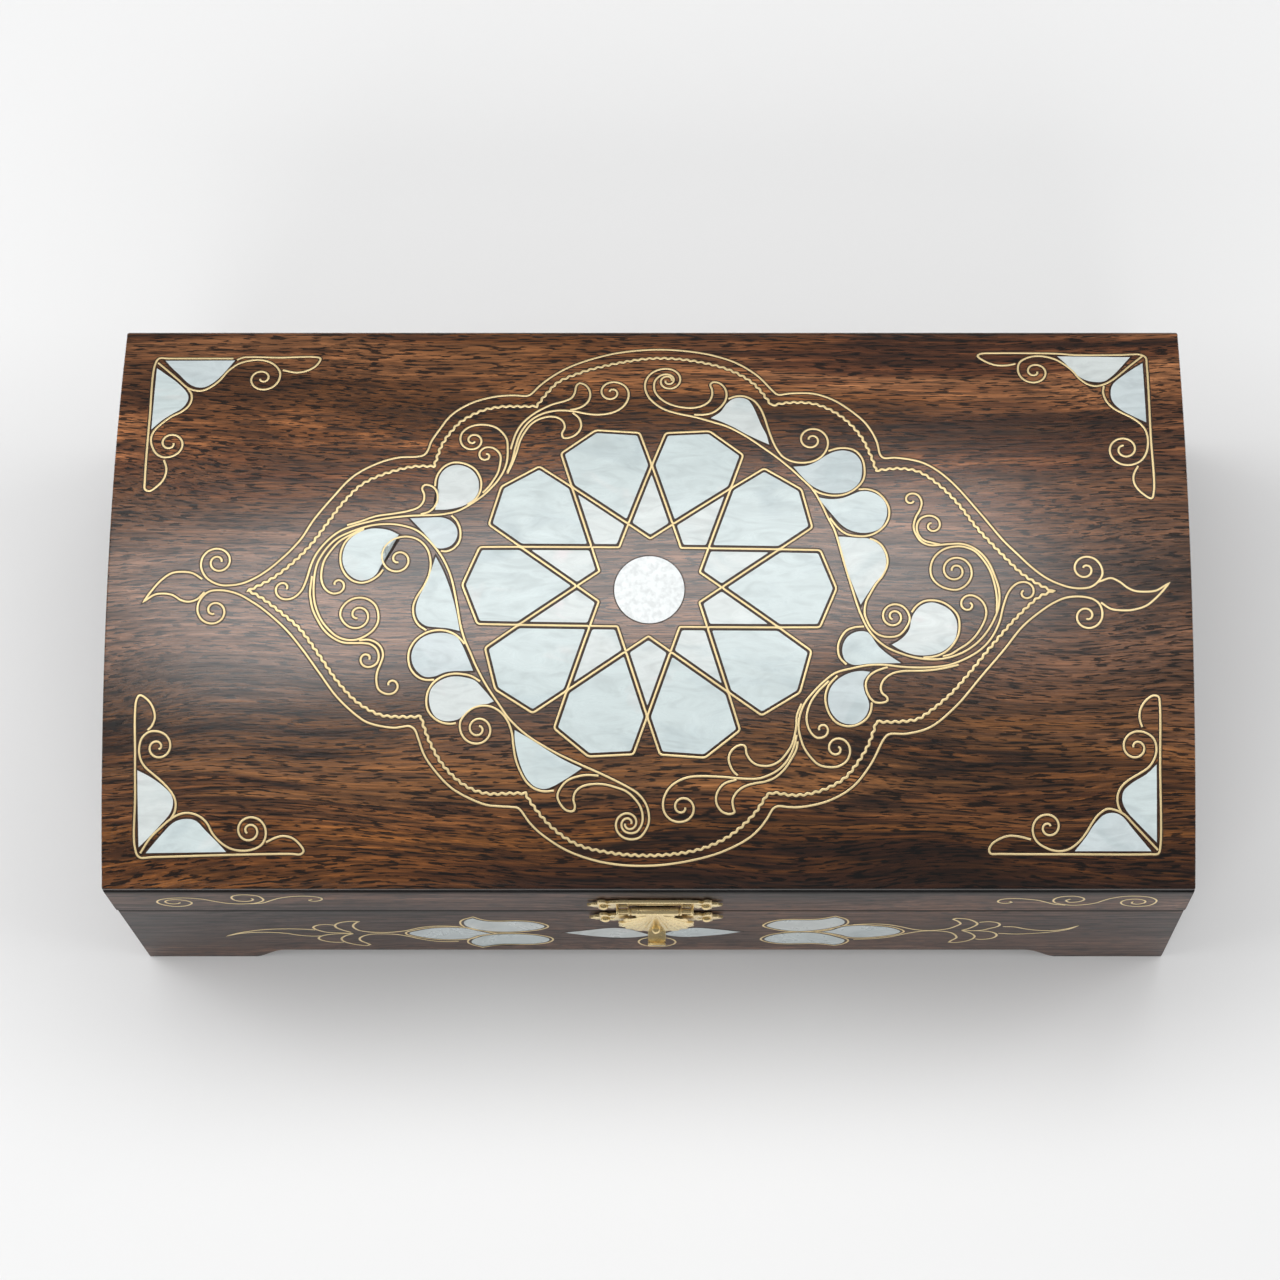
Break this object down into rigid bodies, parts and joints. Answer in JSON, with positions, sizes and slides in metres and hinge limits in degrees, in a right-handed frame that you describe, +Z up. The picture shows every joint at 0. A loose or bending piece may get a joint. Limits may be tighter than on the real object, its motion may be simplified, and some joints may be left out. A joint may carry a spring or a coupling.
{
  "type": "inlaid wooden box",
  "caption": "Footed rectangular walnut box with a barrel-topped hinged lid, a star and scroll inlay of mother of pearl and brass wire, and a brass clasp.",
  "frame": {"origin": "under the middle of the whole object, clasp and hinge knuckles included, on the surface that the feet stand on", "axes": "+X along the length, -Y towards the side with the clasp, +Z up"},
  "size_m": [0.28, 0.1626, 0.0987],
  "materials": {
    "walnut_top": "oiled walnut, dark, with orange brown bands",
    "walnut_boards": "oiled walnut, dark grey brown",
    "pearl": "polished mother of pearl",
    "brass": "polished",
    "velvet": "dark red velvet on card",
    "plywood": "bare plywood"
  },
  "bodies": {
    "base": {"base_back_board": "walnut_boards", "base_bottom_panel": "plywood", "base_floor_pad": "velvet", "base_front_board": "walnut_boards", "base_left_board": "walnut_boards", "base_right_board": "walnut_boards", "base_wall_lining": "velvet", "clasp_lower_nail_1": "brass", "clasp_lower_nail_2": "brass", "clasp_lower_plate": "brass", "hinge_left_lower_leaf": "brass", "hinge_left_lower_screw_1": "brass", "hinge_left_lower_screw_2": "brass", "hinge_left_pin": "brass", "hinge_right_lower_leaf": "brass", "hinge_right_lower_screw_1": "brass", "hinge_right_lower_screw_2": "brass", "hinge_right_pin": "brass"},
    "lid": {"clasp_pin": "brass", "clasp_upper_nail_1": "brass", "clasp_upper_nail_2": "brass", "clasp_upper_plate": "brass", "hinge_left_upper_leaf": "brass", "hinge_left_upper_screw_1": "brass", "hinge_left_upper_screw_2": "brass", "hinge_right_upper_leaf": "brass", "hinge_right_upper_screw_1": "brass", "hinge_right_upper_screw_2": "brass", "lid_back_rail": "walnut_boards", "lid_front_rail": "walnut_boards", "lid_left_rail": "walnut_boards", "lid_lining": "velvet", "lid_right_rail": "walnut_boards", "lid_top_board": "walnut_top", "rosette_centre": "pearl", "rosette_kite_01": "pearl", "rosette_kite_02": "pearl", "rosette_kite_03": "pearl", "rosette_kite_04": "pearl", "rosette_kite_05": "pearl", "rosette_kite_06": "pearl", "rosette_kite_07": "pearl", "rosette_kite_08": "pearl", "rosette_kite_09": "pearl", "rosette_kite_10": "pearl", "rosette_petal_01": "pearl", "rosette_petal_02": "pearl", "rosette_petal_03": "pearl", "rosette_petal_04": "pearl", "rosette_petal_05": "pearl", "rosette_petal_06": "pearl", "rosette_petal_07": "pearl", "rosette_petal_08": "pearl", "rosette_petal_09": "pearl", "rosette_petal_10": "pearl"},
    "hasp": {"clasp_hasp": "brass", "clasp_knob": "brass"}
  },
  "joints": [
    {"name": "lid_hinge", "type": "hinge", "parent": "base", "child": "lid", "pos_m": [0, 0.07933, 0.06], "axis": [-1, 0, 0], "range_deg": [0, 105]},
    {"name": "hasp_hinge", "type": "hinge", "parent": "lid", "child": "hasp", "pos_m": [0.0013, -0.07702, 0.0685], "axis": [-1, 0, 0], "range_deg": [0, 150]}
  ]
}
